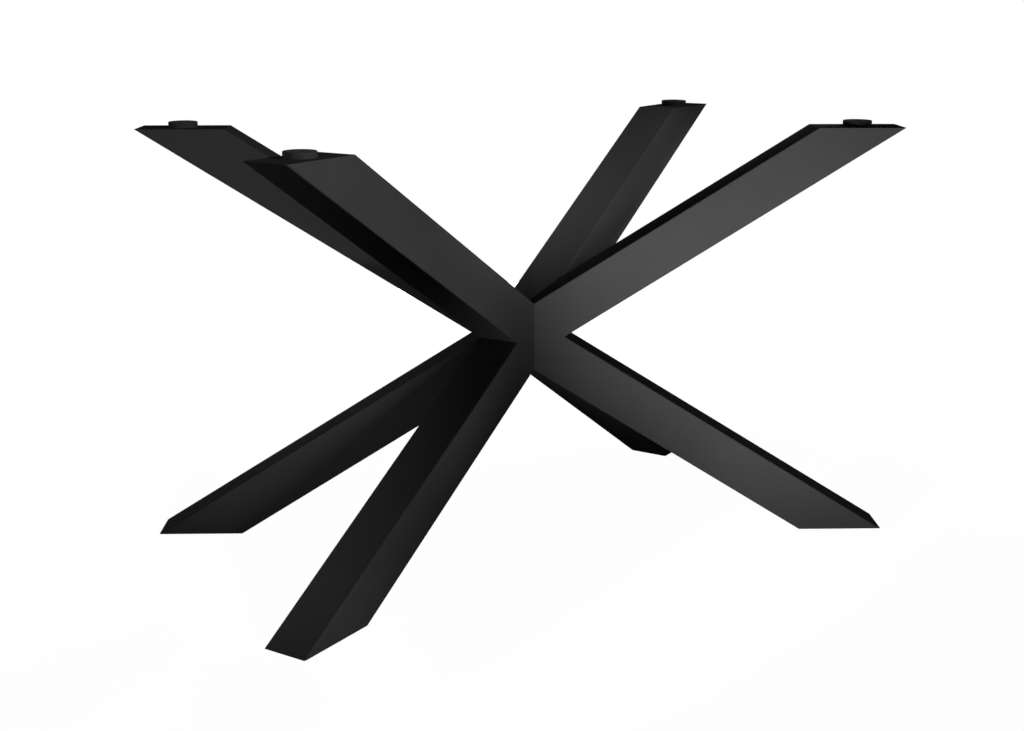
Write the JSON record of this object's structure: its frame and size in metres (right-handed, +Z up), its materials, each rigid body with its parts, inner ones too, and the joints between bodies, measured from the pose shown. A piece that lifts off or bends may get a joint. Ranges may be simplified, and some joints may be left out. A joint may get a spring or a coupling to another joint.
{
  "type": "x shaped table leg",
  "caption": "X-shaped steel table leg of square tube: straight arms cross at a hub, splay down to the floor and up to round rubber pads that carry a glass top.",
  "frame": {"origin": "on the floor under the middle of the frame", "axes": "+X along the table, +Y across it towards the back, +Z up"},
  "size_m": [1.196, 0.6852, 0.74],
  "materials": {
    "powder_coat": "satin black powder coat on welded steel tube",
    "pad_rubber": "matt black rubber",
    "black_nylon": "black moulded nylon",
    "zinc_steel": "bright zinc plate"
  },
  "bodies": {
    "root": {"front_right_upper_arm": "powder_coat", "front_right_lower_arm": "powder_coat", "front_right_top_plate": "powder_coat", "front_right_foot_plate": "powder_coat", "front_right_glass_pad": "pad_rubber", "front_right_foot_glide": "black_nylon", "front_left_upper_arm": "powder_coat", "front_left_lower_arm": "powder_coat", "front_left_top_plate": "powder_coat", "front_left_foot_plate": "powder_coat", "front_left_glass_pad": "pad_rubber", "front_left_foot_glide": "black_nylon", "back_right_upper_arm": "powder_coat", "back_right_lower_arm": "powder_coat", "back_right_top_plate": "powder_coat", "back_right_foot_plate": "powder_coat", "back_right_glass_pad": "pad_rubber", "back_right_foot_glide": "black_nylon", "back_left_upper_arm": "powder_coat", "back_left_lower_arm": "powder_coat", "back_left_top_plate": "powder_coat", "back_left_foot_plate": "powder_coat", "back_left_glass_pad": "pad_rubber", "back_left_foot_glide": "black_nylon", "right_joint_plate": "powder_coat", "right_seat_plate": "powder_coat", "left_joint_plate": "powder_coat", "left_seat_plate": "powder_coat", "joint_bar": "zinc_steel", "joint_bolts": "zinc_steel", "joint_washers": "zinc_steel", "pad_screws": "zinc_steel", "pad_washers": "zinc_steel", "pad_weld_nuts": "zinc_steel", "key_hole_plugs": "black_nylon"}
  },
  "joints": []
}
